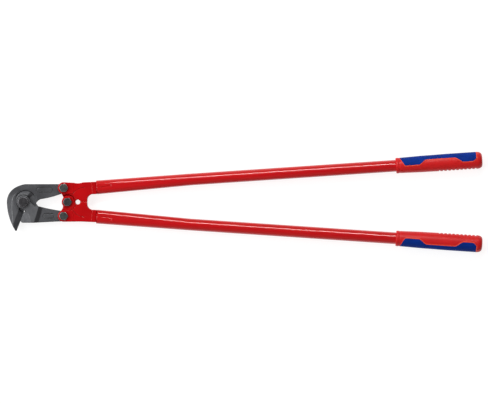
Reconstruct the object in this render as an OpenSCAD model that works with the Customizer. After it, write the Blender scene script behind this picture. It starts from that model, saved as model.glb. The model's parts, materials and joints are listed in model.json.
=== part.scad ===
// Rebar cutter: two forged jaws on a main pivot bolt, worked by two long handles.
// The origin is on the main pivot axis, on the plane that the closed tool lies on.
// +X runs from the jaws to the grips, +Y to the upper handle, +Z to the bolt heads.

/* [Overall] */
// Length from the front of the hook to the end of the grips
tool_length = 950; // [850:5:1150]
// Angle between each straight handle tube and the tool's centre line
handle_angle = 3.83; // [3.2:0.05:4.6]

/* [Linkage] */
// Distance from the main pivot to the jaw bolts, along the tool
jaw_bolt_x = 80.4; // [76:0.2:97]
// Distance from the centre line to each jaw bolt
jaw_bolt_y = 28; // [26:0.2:30]
// Distance from the jaw bolts back to the centre bolt, along the tool
centre_setback = 7.6; // [6:0.2:9]

/* [Jaws] */
// Radius of the hook's outer rim about the main pivot
hook_r = 33.3; // [31:0.1:36]
// Distance from the main pivot down to the tip of the hook
hook_drop = 58; // [54:0.5:66]
// Thickness of the jaw arms where they enter the yokes
arm_thickness = 10; // [8:0.5:11]
// Height of each jaw's head above the middle plane
head_height = 9; // [7.5:0.5:9.5]
// Diameter of the main pivot bolt
pivot_d = 12; // [10:0.5:14.5]

/* [Yokes] */
// Thickness of the forged yokes
yoke_thickness = 20; // [16.5:0.5:24]
// Diameter of the centre bolt and the two jaw bolts
bolt_d = 10; // [8:0.5:12]
// Radius of the yoke's lug around each jaw bolt
lug_r = 11.5; // [11:0.1:13]

/* [Handles] */
// Outer diameter of the straight part of each tube
tube_d = 23.7; // [19.5:0.1:28.5]
// Wall thickness of the tubes
tube_wall = 2.8; // [2.2:0.1:3.4]
// Length of each grip
grip_length = 172.5; // [150:0.5:207]
// Diameter of the grips at their rear ends
grip_d = 34; // [33:0.5:40]

/* [Hidden] */

$fn = 64;
hull_sides = 32;

jaw_grey = [0.32, 0.33, 0.34];
yoke_red = [0.75, 0.06, 0.08];
grip_red = [0.80, 0.10, 0.08];
inlay_blue = [0.10, 0.20, 0.52];
bolt_grey = [0.30, 0.33, 0.32];
washer_grey = [0.60, 0.60, 0.60];

// Clearances: a pin in its hole, faces that slide, stop faces that meet, and the blades.
pin_gap = 0.05;
slide_gap = 0.15;
stop_gap = 0.05;
blade_gap = 0.35;
// The upper jaw's hole is wide, because its bolt follows a slightly different path.
link_gap = 2.6;
// Enough to cut right through a surface.
past = 1;

// The middle plane lies half a grip above the ground, so the grips and the nuts touch it.
mid_height = grip_d / 2;

jaw_bolt = [jaw_bolt_x, jaw_bolt_y];
centre = [jaw_bolt_x + centre_setback, 0];

// Height of the jaw arms and yokes above and below the middle plane.
arm_half = arm_thickness / 2;
yoke_half = yoke_thickness / 2;

// Hex fasteners
washer_t = 1.6;
bolt_head_h = 0.64 * bolt_d;
bolt_hex = 1.6 * bolt_d;
pivot_head_h = 0.62 * pivot_d;
pivot_hex = 1.6 * pivot_d;

// The cutting edge runs from its top, beside the boss, to the tip of the hook.
edge_top = [0.8, -19.2];
edge_tip = [-13.4, 1.2 - hook_drop];
edge_length = norm(edge_tip - edge_top);
edge_along = (edge_tip - edge_top) / edge_length;
edge_right = [-edge_along.y, edge_along.x];
edge_turn = atan2(edge_right.y, edge_right.x);
// Half the thickness of the blunt land at the cutting edge.
edge_land = 0.3;
blade_length = 18.8;

// Main pivot: the lower jaw's boss, the upper jaw's disc, and the pocket that holds the boss.
boss_r = 13.6;
disc_r = 17.5;
pocket_r = 21.6;
pocket_centre = [4.2, 2.2];
// Throat of the upper jaw, where its arm leaves the disc, and the tail that closes it from behind.
throat_r = 24.7;
throat_turn = -6;
tail_r = 29.8;
tail_start = -15.2;
tail_end = -22;
// How far the upper jaw's tail swings as the jaws open, with some to spare.
tail_swing = 18;

// Yoke
stop_x = centre.x + 39.6;
shoulder_x = centre.x + 51;
tube_x = centre.x + 58;
centre_lug_r = 13;
centre_lug_shift = 1.6;
centre_recess_r = centre_lug_r + centre_lug_shift + 0.6;
fork_r = lug_r + 2.2;
fork_gap = 0.3;
relief_r = 4.8;
relief_x = centre.x + 20.7;
upper_dip = 2;
lower_dip = 0.2;

// Handle tube: an oval neck that tapers to a round tube with a slight bend.
neck_angle = handle_angle + 1;
neck_length = 188;
neck_y = 29.2;
neck_oval_r = 10;
neck_oval_shift = 3.85;
tang_length = 40;
tube_r = tube_d / 2;
grip_r = grip_d / 2;
grip_end_r = 0.55 * grip_r;
bend = [tube_x + neck_length * cos(neck_angle), neck_y + neck_length * sin(neck_angle)];
handle_end_x = tool_length - hook_r - grip_end_r * sin(handle_angle);
straight_length = (handle_end_x - bend.x) / cos(handle_angle);
tube_end_gap = 8;
// Width of the thin rings that the neck's hull joins, and its step at the bend.
ring_w = 0.1;
// How far the ring at the bend reaches into the straight part.
ring_inside = 0.5;

// Grip, measured along its own axis from its front lip.
grip_front_r = grip_r - 1.4;
grip_start = straight_length - grip_length;
inlay_t = 0.53 * (grip_front_r - tube_r);
rib_count = 10;
rib_pitch = 8;
rib_w = 2.4;
rib_depth = 1;
rib_end = 14;

// Points of an arc from p to q, without q, that bulges to the left by rise.
function bow(p, q, rise, steps = 8) =
    let (span = norm(q - p), along = (q - p) / span, left = [-along.y, along.x])
    let (r = (span * span / 4 + rise * rise) / (2 * rise), half = asin(span / 2 / r))
    let (middle = (p + q) / 2 + left * (rise - r))
    [for (i = [0:steps - 1]) let (a = half * (2 * i / steps - 1))
        middle + r * (left * cos(a) + along * sin(a))];

// Points of an arc about a centre, from one angle to another.
function arc(middle, r, from, to, steps = 12) =
    [for (i = [0:steps]) let (a = from + (to - from) * i / steps) middle + r * [cos(a), sin(a)]];

// Lifts a piece that is modelled about the middle plane onto the ground.
module lie_down() translate([0, 0, mid_height]) children();

// Extrudes an outline between two heights.
module slab(low, high) translate([0, 0, low]) linear_extrude(high - low) children();

// A pin's hole right through the tool.
module pin_hole(place, r) translate(place) cylinder(h = 4 * yoke_thickness, r = r, center = true);

// ---------- fasteners ----------

// Hexagonal prism with its top corners chamfered, standing on z = 0.
module hex_block(flats, h) {
    intersection() {
        cylinder(h = h, d = flats / cos(30), $fn = 6);
        cylinder(h = h, d1 = flats / cos(30) + 3.2 * h, d2 = flats * 0.96);
    }
}

// Bolt whose head's underside is at z = 0, with its shank going down.
module hex_bolt(d, flats, head_h, length) {
    hex_block(flats, head_h);
    translate([0, 0, -length]) cylinder(h = length, d = d);
}

// Nut whose top is at z = 0.
module hex_nut(d, flats, h) {
    difference() {
        mirror([0, 0, 1]) hex_block(flats, h);
        translate([0, 0, -h - past]) cylinder(h = h + 2 * past, d = d);
    }
}

// Washer whose top is at z = 0.
module flat_washer(d, outer_d) {
    difference() {
        translate([0, 0, -washer_t]) cylinder(h = washer_t, d = outer_d);
        translate([0, 0, -washer_t - past]) cylinder(h = washer_t + 2 * past, d = d + 0.4);
    }
}

module yoke_bolt(place) {
    color(bolt_grey) lie_down() translate([place.x, place.y, yoke_half])
        hex_bolt(bolt_d, bolt_hex, bolt_head_h, yoke_half + mid_height);
}

module yoke_washer(place) {
    color(washer_grey) lie_down() translate([place.x, place.y, -yoke_half])
        flat_washer(bolt_d, 2 * bolt_d);
}

module yoke_nut(place) {
    nut_h = mid_height - yoke_half - washer_t;
    color(bolt_grey) translate([place.x, place.y, nut_h]) hex_nut(bolt_d, bolt_hex, nut_h);
}

module pivot_bolt() {
    color(bolt_grey) lie_down() translate([0, 0, head_height])
        hex_bolt(pivot_d, pivot_hex, pivot_head_h, head_height + mid_height);
}

module pivot_washer() {
    color(washer_grey) lie_down() translate([0, 0, -head_height]) flat_washer(pivot_d, 2 * pivot_d);
}

module pivot_nut() {
    nut_h = mid_height - head_height - washer_t;
    color(bolt_grey) translate([0, 0, nut_h]) hex_nut(pivot_d, pivot_hex, nut_h);
}

// ---------- jaws ----------

// Side profile of a jaw, swept across it: full height over the head, then a ramp to the arm.
module head_and_arm(ramp_x, ramp_w, turn) {
    rotate([0, 0, turn]) rotate([90, 0, 0]) linear_extrude(4 * hook_drop, center = true) polygon([
        [-2 * hook_drop, -arm_half], [-2 * hook_drop, head_height], [ramp_x, head_height],
        [ramp_x + ramp_w, arm_half], [2 * jaw_bolt_x, arm_half], [2 * jaw_bolt_x, -arm_half]
    ]);
}

// Wedge that grinds a bevel beside the cutting edge, on the side that x grows to.
module bevel_wedge(start, width, height, length) {
    rotate([90, 0, 0]) linear_extrude(length) polygon([
        [-past, start], [0, start], [width, height],
        [width + past, height + past], [-past, height + past]
    ]);
}

// Shallow panel sunk into the side of an arm.
module arm_panel(from, size) {
    corner_r = 2;
    translate([from.x, from.y, arm_half - 0.6]) linear_extrude(past + 0.6) union() {
        translate([corner_r, 0]) square([size.x - 2 * corner_r, size.y]);
        translate([0, corner_r]) square([size.x, size.y - 2 * corner_r]);
        for (x = [corner_r, size.x - corner_r], y = [corner_r, size.y - corner_r])
            translate([x, y]) circle(corner_r);
    }
}

module upper_jaw_outline() {
    throat = throat_r * [cos(throat_turn), sin(throat_turn)];
    arm_root = [34, 5.6];
    arm_low = jaw_bolt + [-5.4, -11.8];
    arm_top = jaw_bolt_y + 7.8;
    rim = arc([0, 0], hook_r, 120, 187);
    rim_end = rim[len(rim) - 1];
    tip_back = edge_tip + [-3.8, 0.7];
    polygon(concat(
        bow(throat, arm_root, 1),
        bow(arm_root, arm_low, -1.3),
        [jaw_bolt + [0, -10], jaw_bolt + [0, 7.8]],
        bow([4, arm_top], rim[0], -1.1),
        rim,
        bow(rim_end, tip_back, -3.3),
        bow(tip_back, edge_tip, -1.6, 4),
        [edge_top],
        arc([0, 0], disc_r, -90, tail_end),
        arc([0, 0], tail_r, tail_end, tail_start, 3)
    ));
    translate(jaw_bolt) circle(10);
    circle(disc_r);
}

// A wedge of plane between two directions from the main pivot.
module sector(from, to) {
    polygon(concat([[0, 0]], arc([0, 0], 2 * tail_r, from, to, 4)));
}

module upper_jaw() {
    front_bevel = 11;
    back_bevel = 12;
    bevel_start = 5;
    color(jaw_grey) lie_down() difference() {
        intersection() {
            slab(-head_height, arm_half) upper_jaw_outline();
            mirror([0, 0, 1]) head_and_arm(22, 8, 17);
        }
        slab(-slide_gap, head_height) union() {
            translate(pocket_centre) circle(pocket_r);
            sector(tail_end - tail_swing, throat_turn);
        }
        translate(edge_top) rotate([0, 0, edge_turn]) translate([0, bevel_start, 0]) {
            mirror([1, 0, 0]) bevel_wedge(edge_land, front_bevel, arm_half, 2 * edge_length);
            mirror([1, 0, 0]) mirror([0, 0, 1]) translate([0, -bevel_start, 0])
                bevel_wedge(edge_land, back_bevel, head_height, 2 * edge_length);
        }
        arm_panel([25, jaw_bolt_y - 9.5], [34, 11.5]);
        pin_hole([0, 0], pivot_d / 2 + pin_gap);
        pin_hole(jaw_bolt, bolt_d / 2 + link_gap);
    }
}

module lower_jaw_outline() {
    blade_top = edge_top + edge_right * blade_gap + edge_along * 1.2;
    blade_heel = blade_top + edge_along * blade_length;
    belly = [blade_heel.x + 6.3, -41.6];
    arm_low = [jaw_bolt_x - 11.7, -jaw_bolt_y - 11];
    arm_high = [jaw_bolt_x - 7.7, -jaw_bolt_y + 10.8];
    arm_root = [29.2, -8.2];
    polygon(concat(
        [[0, 0], [-2.2, -13.2], [2.4, -16.6], [3.4, -18.4], blade_top],
        bow(blade_heel, belly, -1.2, 6),
        [[20, -41.6], arm_low, [jaw_bolt_x, -jaw_bolt_y - 10.9], [jaw_bolt_x, -jaw_bolt_y + 10]],
        bow(arm_high, arm_root, 0.7),
        bow(arm_root, [23.4, -8.6], -0.6, 4),
        bow([23.4, -8.6], [13.4, 2.4], 1.2)
    ));
    circle(boss_r);
    translate([jaw_bolt_x, -jaw_bolt_y]) circle(10.9);
}

module lower_jaw() {
    front_bevel = 14;
    front_drop = 2.8;
    back_bevel = 8;
    color(jaw_grey) lie_down() difference() {
        intersection() {
            slab(-arm_half, head_height) lower_jaw_outline();
            head_and_arm(32, 8.5, -17);
        }
        slab(-head_height, slide_gap) union() {
            circle(disc_r + 0.5);
            intersection() {
                circle(tail_r + 0.6);
                sector(tail_end - tail_swing, 10);
            }
        }
        translate(edge_top + edge_right * blade_gap) rotate([0, 0, edge_turn]) {
            bevel_wedge(head_height - front_drop, front_bevel, head_height, edge_length);
            mirror([0, 0, 1]) bevel_wedge(edge_land, back_bevel, arm_half, edge_length);
        }
        arm_panel([38, -jaw_bolt_y - 5.2], [24, 10.6]);
        pin_hole([0, 0], pivot_d / 2 + pin_gap);
        pin_hole([jaw_bolt_x, -jaw_bolt_y], bolt_d / 2 + pin_gap);
    }
}

// ---------- yokes ----------

// The upper yoke seen from the front, without its tang. Its back edge dips behind the jaw bolt.
module yoke_outline(dip) {
    top = jaw_bolt_y + lug_r;
    neck_low = neck_y - neck_oval_r - neck_oval_shift + 0.4;
    neck_high = neck_y + neck_oval_r + neck_oval_shift - 2.6;
    neck_slant = (neck_oval_r + neck_oval_shift) * tan(neck_angle) - 0.1;
    polygon(concat(
        bow(jaw_bolt + [-6.9, -9.2], centre + [-8.7, 7.4], 1.4),
        [centre, [centre.x, stop_gap], [stop_x, stop_gap]],
        bow([stop_x, 6], [shoulder_x, neck_low], 2.6),
        [[tube_x + neck_slant, neck_low], [tube_x - neck_slant, neck_high], [centre.x + 36, top]],
        bow([centre.x + 31, top - 0.2], [centre.x + 10, top - 0.1], dip),
        [jaw_bolt + [0, lug_r]]
    ));
    translate(jaw_bolt) circle(lug_r);
    translate([centre.x + centre_lug_shift, 0]) circle(centre_lug_r);
}

// The space between the fork's cheeks, where the jaw's arm swings.
module fork_slot() {
    slab(-arm_half - fork_gap, arm_half + fork_gap) union() {
        translate(jaw_bolt) circle(fork_r);
        translate(jaw_bolt - [2 * lug_r, 0]) square([2 * lug_r + fork_r, 2 * lug_r]);
    }
}

// The tang that the tube is crimped onto.
module tang() {
    intersection() {
        neck_bore();
        translate([tube_x - past, 0, -neck_oval_r]) cube([tang_length + past, 3 * neck_y, 2 * neck_oval_r]);
    }
}

module yoke(dip) {
    difference() {
        union() {
            slab(-yoke_half, yoke_half) yoke_outline(dip);
            tang();
        }
        slab(-slide_gap, 2 * yoke_half) translate(centre) circle(centre_recess_r);
        fork_slot();
        pin_hole([relief_x, 0], relief_r);
        pin_hole(jaw_bolt, bolt_d / 2 + pin_gap);
        pin_hole(centre, bolt_d / 2 + pin_gap);
    }
}

// ---------- handles ----------

// Places a piece that is modelled along +Z at the mouth of the upper tube's neck.
module along_neck() {
    translate([tube_x, neck_y, 0]) rotate([0, 0, neck_angle]) rotate([0, 90, 0]) children();
}

// A taper from an oval at the neck's mouth to a round ring at the bend.
module neck_shape(oval_r, ring_r, start) {
    hull() {
        along_neck() for (side = [-1, 1])
            translate([0, side * neck_oval_shift, start]) cylinder(h = ring_w, r = oval_r, $fn = hull_sides);
        along_tube(ring_inside) cylinder(h = ring_w, r = ring_r, $fn = hull_sides);
    }
}

// The space inside the neck, which the tang fills. Its ring is a little wider than the straight bore.
module neck_bore() neck_shape(neck_oval_r - tube_wall, tube_r - tube_wall + ring_w, -past);

// Places a piece that is modelled along +Z onto the straight part of the upper tube.
module along_tube(distance) {
    translate(bend) rotate([0, 0, handle_angle]) translate([distance, 0, 0]) rotate([0, 90, 0]) children();
}

// Long shallow dents where the tube is crimped onto the tang.
module crimp_dents() {
    dent_r = 3;
    dent_depth = 0.9;
    along_neck() for (side = [-1, 1])
        translate([side * (neck_oval_r + dent_r - dent_depth), 0, 9]) cylinder(h = 20, r = dent_r);
}

module handle_tube() {
    difference() {
        union() {
            neck_shape(neck_oval_r, tube_r - ring_w, 0);
            along_tube(0) cylinder(h = straight_length - tube_end_gap, r = tube_r);
        }
        neck_bore();
        along_tube(0) cylinder(h = straight_length, r = tube_r - tube_wall);
        crimp_dents();
    }
}

// Outer profile of the grip, as radius and distance along it, made smaller by inset.
function grip_profile(inset) = concat(
    bow([grip_front_r - inset - 1.5, 0], [grip_front_r - inset, 2], -0.6, 4),
    [[grip_front_r - inset, 5], [grip_front_r - inset - 0.6, 6.5], [grip_front_r - inset - 0.3, 9]],
    [[grip_r - inset - 0.5, 0.36 * grip_length], [grip_r - inset, 0.6 * grip_length]],
    bow([grip_r - inset, grip_length - 11], [grip_end_r, grip_length - inset], -2.1),
    [[0, grip_length - inset]]
);

// The inlay's outline seen from the front, with y growing to the outer side.
module inlay_outline() {
    outer = 2 * grip_r;
    front = [11, 22, 47, 59];
    rear = [grip_length - 51, grip_length - 39, grip_length - 16, grip_length - 12];
    low = -1.3;
    high = 0.5 * grip_r;
    polygon(concat(
        [[front[0], outer], [front[0], grip_r], [front[0] + 2, 0.55 * grip_r]],
        bow([front[0] + 3, 0.4 * grip_r], [front[1], low], -1.6),
        bow([front[2], low], [front[2] + 7, 0.2 * grip_r], -1.2),
        bow([front[2] + 8, 0.28 * grip_r], [front[3] + 6, high], 1.4),
        bow([rear[0] - 4, high], [rear[0] + 3, 0.25 * grip_r], 1.2),
        bow([rear[0] + 4, 0.16 * grip_r], [rear[1], low], -1),
        bow([rear[2] - 6, low], [rear[3], 0.45 * grip_r], -2.6),
        [[rear[3], 0.45 * grip_r], [rear[3], outer]]
    ));
}

// The inlay's space: the grip's outer skin inside the inlay's outline.
module inlay_shape() {
    intersection() {
        difference() {
            rotate_extrude() polygon(concat([[0, 0]], grip_profile(0)));
            rotate_extrude() polygon(concat([[0, -past]], grip_profile(inlay_t)));
        }
        rotate([0, -90, 0]) linear_extrude(4 * grip_r, center = true) inlay_outline();
    }
}

module grip_ribs() {
    for (i = [0:rib_count - 1])
        translate([-grip_r, -grip_r - past, grip_length - rib_end - i * rib_pitch])
            cube([2 * grip_r, rib_depth + past, rib_w]);
}

module handle_grip() {
    along_tube(grip_start) difference() {
        rotate_extrude() polygon(concat([[0, 0]], grip_profile(0)));
        translate([0, 0, -past]) cylinder(h = grip_length - tube_end_gap + past, r = tube_r);
        inlay_shape();
        grip_ribs();
    }
}

module handle_inlay() {
    along_tube(grip_start) inlay_shape();
}

// The lower handle is the upper one turned over about the tool's centre line.
module turn_over() rotate([180, 0, 0]) children();

module upper_yoke() color(yoke_red) lie_down() yoke(upper_dip);
module upper_tube() color(yoke_red) lie_down() handle_tube();
module upper_grip() color(grip_red) lie_down() handle_grip();
module upper_grip_inlay() color(inlay_blue) lie_down() handle_inlay();

module lower_yoke() color(yoke_red) lie_down() turn_over() yoke(lower_dip);
module lower_tube() color(yoke_red) lie_down() turn_over() handle_tube();
module lower_grip() color(grip_red) lie_down() turn_over() handle_grip();
module lower_grip_inlay() color(inlay_blue) lie_down() turn_over() handle_inlay();

lower_bolt = [jaw_bolt_x, -jaw_bolt_y];

lower_yoke();
lower_tube();
lower_grip();
lower_grip_inlay();
yoke_bolt(centre);  // centre_bolt
yoke_washer(centre);  // centre_washer
yoke_nut(centre);  // centre_nut
yoke_bolt(lower_bolt);  // lower_jaw_bolt
yoke_washer(lower_bolt);  // lower_jaw_washer
yoke_nut(lower_bolt);  // lower_jaw_nut
upper_yoke();
upper_tube();
upper_grip();
upper_grip_inlay();
yoke_bolt(jaw_bolt);  // upper_jaw_bolt
yoke_washer(jaw_bolt);  // upper_jaw_washer
yoke_nut(jaw_bolt);  // upper_jaw_nut
lower_jaw();
pivot_bolt();
pivot_washer();
pivot_nut();
upper_jaw();
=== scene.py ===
import json
import math

import bmesh
import bpy
from bpy.props import FloatProperty, FloatVectorProperty, IntProperty, PointerProperty
from mathutils import Matrix, Vector


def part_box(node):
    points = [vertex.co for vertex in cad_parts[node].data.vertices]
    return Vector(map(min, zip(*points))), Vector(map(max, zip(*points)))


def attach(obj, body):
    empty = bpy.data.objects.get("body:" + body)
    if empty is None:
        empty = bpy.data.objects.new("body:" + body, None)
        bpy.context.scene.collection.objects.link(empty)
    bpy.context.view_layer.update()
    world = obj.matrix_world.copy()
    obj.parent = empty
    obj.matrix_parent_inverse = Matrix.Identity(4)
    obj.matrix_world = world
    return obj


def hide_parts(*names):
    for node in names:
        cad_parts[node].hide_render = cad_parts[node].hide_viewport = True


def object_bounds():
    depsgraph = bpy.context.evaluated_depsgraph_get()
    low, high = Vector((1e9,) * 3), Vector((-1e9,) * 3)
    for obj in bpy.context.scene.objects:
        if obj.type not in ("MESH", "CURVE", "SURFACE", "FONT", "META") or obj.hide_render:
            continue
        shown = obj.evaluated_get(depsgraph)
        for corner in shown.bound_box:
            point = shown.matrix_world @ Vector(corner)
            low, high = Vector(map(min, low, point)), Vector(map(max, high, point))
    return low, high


bl_info = {
    "name": "Rebar Cutter",
    "version": (1, 0, 0),
    "blender": (4, 5, 0),
    "location": "View3D > Sidebar > Rebar Cutter",
    "description": "Builds the finished pieces of a long-handled rebar cutter on its CAD frame",
    "category": "Add Mesh",
}

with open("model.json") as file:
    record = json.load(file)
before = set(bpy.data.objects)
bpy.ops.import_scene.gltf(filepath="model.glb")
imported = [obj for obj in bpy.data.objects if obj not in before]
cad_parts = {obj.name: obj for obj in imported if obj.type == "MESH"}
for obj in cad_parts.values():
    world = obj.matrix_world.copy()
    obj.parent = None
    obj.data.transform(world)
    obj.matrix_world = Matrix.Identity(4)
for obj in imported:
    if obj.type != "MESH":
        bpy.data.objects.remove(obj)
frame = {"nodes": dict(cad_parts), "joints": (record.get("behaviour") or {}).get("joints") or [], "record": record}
CAD_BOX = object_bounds()

MM = 0.001
RECORD = frame["record"]
HINGE_AT = {joint["name"]: Vector(joint["pos_m"]) for joint in frame["joints"]}
PIVOT = HINGE_AT["main_pivot"]
CENTRE = HINGE_AT["handle_hinge"]
BODY_OF = {node: body for body, nodes in RECORD["behaviour"]["bodies"].items() for node in nodes}
# Turns a piece of the upper handle over, about the tool's centre line, into its lower twin.
TO_MIDDLE = Matrix.Translation((0, 0, PIVOT.z))
TURN_OVER = TO_MIDDLE @ Matrix.Rotation(math.pi, 4, "X") @ TO_MIDDLE.inverted()
SIDES = ("upper", "lower")
FRONT, BACK = 1, -1


# ---------- settings ----------

def length_setting(name, description, default, least=0):
    """A setting that is a length in metres."""
    return FloatProperty(
        name=name, description=description, default=default, min=least,
        unit="LENGTH", subtype="DISTANCE", precision=5)


def colour_setting(name, description, default):
    """A setting that is a colour."""
    return FloatVectorProperty(
        name=name, description=description, default=default, size=3, min=0, max=1, subtype="COLOR")


def power_setting(name, description, default):
    """A setting that is a light's power in watts."""
    return FloatProperty(name=name, description=description, default=default, min=0, unit="POWER")


class JawSettings(bpy.types.PropertyGroup):
    edge_radius: length_setting("Edge radius", "Rounding of the forged edges", 0.8 * MM)
    skin_step: length_setting(
        "Skin step", "Size of the squares that make up a forging's skin", 0.42 * MM, least=0.2 * MM)
    rim_slope: FloatProperty(
        name="Rim slope", description="How steeply the hook's outer rim falls away",
        default=0.07, min=0, max=1, subtype="FACTOR")
    ridge_height: length_setting(
        "Ridge height", "Height of the thin ridge along the hook's outer rim", 0.3 * MM)
    colour: colour_setting("Steel colour", "Dark oxide of the jaws", (0.063, 0.065, 0.072))
    ground_colour: colour_setting(
        "Ground colour", "Finely ground faces around the pivot and the blades", (0.108, 0.111, 0.120))
    # Also used for the painted highlights along the jaws' ridge lines.
    worn_colour: colour_setting(
        "Worn colour", "Bare steel where the edges have rubbed", (0.22, 0.225, 0.235))


class YokeSettings(bpy.types.PropertyGroup):
    edge_radius: length_setting("Edge radius", "Rounding of the yokes' outer edges", 1.3 * MM)
    step_height: length_setting(
        "Step height", "Height of the low steps forged into the yokes' faces", 0.6 * MM)
    colour: colour_setting("Paint colour", "Powder coat of the yokes and the tubes", (0.50, 0.0025, 0.0045))
    worn_colour: colour_setting("Edge colour", "Thinner paint on the edges", (0.62, 0.022, 0.018))


class TubeSettings(bpy.types.PropertyGroup):
    diameter: length_setting("Diameter", "Outer diameter of the straight tube", 23.7 * MM)
    neck_radius: length_setting("Neck radius", "Radius of each half of the oval neck", 10 * MM)
    neck_shift: length_setting("Neck shift", "Distance of each half of the oval from its middle", 3.85 * MM)
    neck_length: length_setting("Neck length", "Length of the taper from the oval to the round", 188 * MM)
    neck_angle: FloatProperty(
        name="Neck angle", description="Angle between the neck and the tool's centre line",
        default=math.radians(4.83), subtype="ANGLE")
    straight_angle: FloatProperty(
        name="Handle angle", description="Angle between the straight tube and the centre line",
        default=math.radians(3.83), subtype="ANGLE")
    dent_depth: length_setting("Dent depth", "Depth of the crimp marks in the neck", 1.4 * MM)


class GripSettings(bpy.types.PropertyGroup):
    length: length_setting("Length", "Length of a grip from its lip to its end", 172.5 * MM)
    diameter: length_setting("Diameter", "Widest diameter of the grip", 34 * MM)
    bead_height: length_setting("Bead height", "Height of the moulded bead around the inlay", 0.45 * MM)
    rib_count: IntProperty(name="Ribs", description="Number of grooves on the inner side", default=10, min=0)
    rib_depth: length_setting("Rib depth", "Depth of the grooves on the inner side", 1.5 * MM)
    colour: colour_setting("Shell colour", "Hard red moulding", (0.64, 0.010, 0.011))
    # Painted highlight colour for the bead around the inlay.
    bead_highlight_colour: colour_setting("Bead colour", "Thin red edge around the inlay", (0.95, 0.10, 0.030))
    inlay_colour: colour_setting("Inlay colour", "Soft blue moulding", (0.002, 0.027, 0.235))


class BoltSettings(bpy.types.PropertyGroup):
    edge_radius: length_setting("Edge radius", "Rounding of the edges of bolts, nuts and washers", 0.3 * MM)
    colour: colour_setting("Oxide colour", "Black oxide of the jaw bolts", (0.074, 0.077, 0.075))
    dark_colour: colour_setting(
        "Dark oxide colour", "Darker oxide of the centre and pivot bolts", (0.050, 0.049, 0.053))
    zinc_colour: colour_setting("Zinc colour", "Plating of the washers", (0.46, 0.47, 0.47))


class StageSettings(bpy.types.PropertyGroup):
    lens: FloatProperty(
        name="Lens", description="Focal length of the camera",
        default=250, min=20, subtype="DISTANCE_CAMERA")
    view_width: length_setting("View width", "Width that the camera sees at the tool", 0.975, least=0.1)
    key_power: power_setting("Key light", "Power of the large light beyond the jaws", 250)
    wall_power: power_setting("Wall light", "Power of the upright light beyond the upper handle", 4)
    strip_power: power_setting("Strip light", "Power of the narrow light along the tubes", 17)
    fill_power: power_setting("Fill light", "Power of the upright light beyond the lower handle", 4)
    sky: FloatProperty(
        name="Sky", description="Strength of the even light from all round", default=0.14, min=0)


class CutterSettings(bpy.types.PropertyGroup):
    jaw: PointerProperty(type=JawSettings)
    yoke: PointerProperty(type=YokeSettings)
    tube: PointerProperty(type=TubeSettings)
    grip: PointerProperty(type=GripSettings)
    bolt: PointerProperty(type=BoltSettings)
    stage: PointerProperty(type=StageSettings)


# ---------- small helpers ----------

# A level that fill_to never raises the skin to.
BELOW_ALL = -1.0


def smooth_step(low, high, value):
    """0 below low, 1 above high and an even curve between."""
    share = min(1.0, max(0.0, (value - low) / (high - low)))
    return share * share * (3 - 2 * share)


def soft_slope(low, high, value):
    """0 below low, 1 above high and a straight slope between, with its two corners rounded."""
    share = min(1.0, max(0.0, (value - low) / (high - low)))
    return 0.15 * share + 0.85 * smooth_step(0, 1, share)


def hump(distance, half_width):
    """1 at no distance, falling smoothly to 0 at half_width."""
    return 1 - smooth_step(0, half_width, abs(distance))


def segment_distance(x, y, start, end):
    """Distance in the plane from a point to a straight line's stretch."""
    point, start, end = Vector((x, y)), Vector(start), Vector(end)
    along = end - start
    share = min(1.0, max(0.0, (point - start).dot(along) / along.length_squared))
    return (point - start - share * along).length


def path_distance(x, y, points):
    """Distance in the plane from a point to a chain of straight stretches."""
    return min(segment_distance(x, y, a, b) for a, b in zip(points, points[1:]))


def curve_points(middle, radius, start, end, steps=12):
    """Points on an arc, with its angles in degrees."""
    angles = [math.radians(start + (end - start) * i / steps) for i in range(steps + 1)]
    return [(middle[0] + radius * math.cos(a), middle[1] + radius * math.sin(a)) for a in angles]


def panel_inset(x, y, low, high, corner):
    """Distance inwards from the outline of a round-cornered panel, less than 0 outside it."""
    half_x, half_y = (high[0] - low[0]) / 2 - corner, (high[1] - low[1]) / 2 - corner
    out_x = abs(x - (low[0] + high[0]) / 2) - half_x
    out_y = abs(y - (low[1] + high[1]) / 2) - half_y
    beyond = math.hypot(max(out_x, 0), max(out_y, 0)) + min(max(out_x, out_y), 0)
    return corner - beyond


# ---------- mesh work ----------

def merged_copy(node):
    """A CAD node's mesh with its loose triangles joined and its flat faces made whole."""
    bm = bmesh.new()
    bm.from_mesh(frame["nodes"][node].data)
    bmesh.ops.remove_doubles(bm, verts=bm.verts, dist=0.002 * MM)
    bmesh.ops.dissolve_limit(bm, angle_limit=math.radians(0.4), verts=bm.verts, edges=bm.edges)
    return bm


def corner_edges(bm, least_turn):
    """The edges whose two faces turn by more than an angle."""
    return [edge for edge in bm.edges if edge.is_manifold and edge.calc_face_angle() > least_turn]


def round_edges(bm, edges, radius, segments=3):
    """Rounds edges and gives back the new faces."""
    made = bmesh.ops.bevel(
        bm, geom=edges, offset=radius, offset_type="OFFSET", segments=segments, profile=0.5,
        affect="EDGES", clamp_overlap=False, material=-1)
    return made["faces"]


def recast(bm, step):
    """The same shape as one skin of even squares, as a casting or a forging has."""
    mesh = bpy.data.meshes.new("casting")
    bm.to_mesh(mesh)
    bm.free()
    holder = bpy.data.objects.new("casting", mesh)
    bpy.context.scene.collection.objects.link(holder)
    remesh = holder.modifiers.new("Skin", "REMESH")
    remesh.mode = "VOXEL"
    remesh.voxel_size = step
    skin = bmesh.new()
    skin.from_object(holder, bpy.context.evaluated_depsgraph_get())
    bpy.data.objects.remove(holder)
    bpy.data.meshes.remove(mesh)
    for _ in range(3):
        bmesh.ops.smooth_vert(
            skin, verts=skin.verts, factor=0.5, use_axis_x=True, use_axis_y=True, use_axis_z=True)
    skin.normal_update()
    return skin


def press(bm, facing, height_at):
    """Shifts the skin that faces up or down by a height, positive outwards, that depends on its place."""
    for vert in bm.verts:
        share = smooth_step(0.45, 0.8, vert.normal.z * facing)
        if share > 0:
            vert.co.z += facing * share * height_at(vert.co)
    bm.normal_update()


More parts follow.
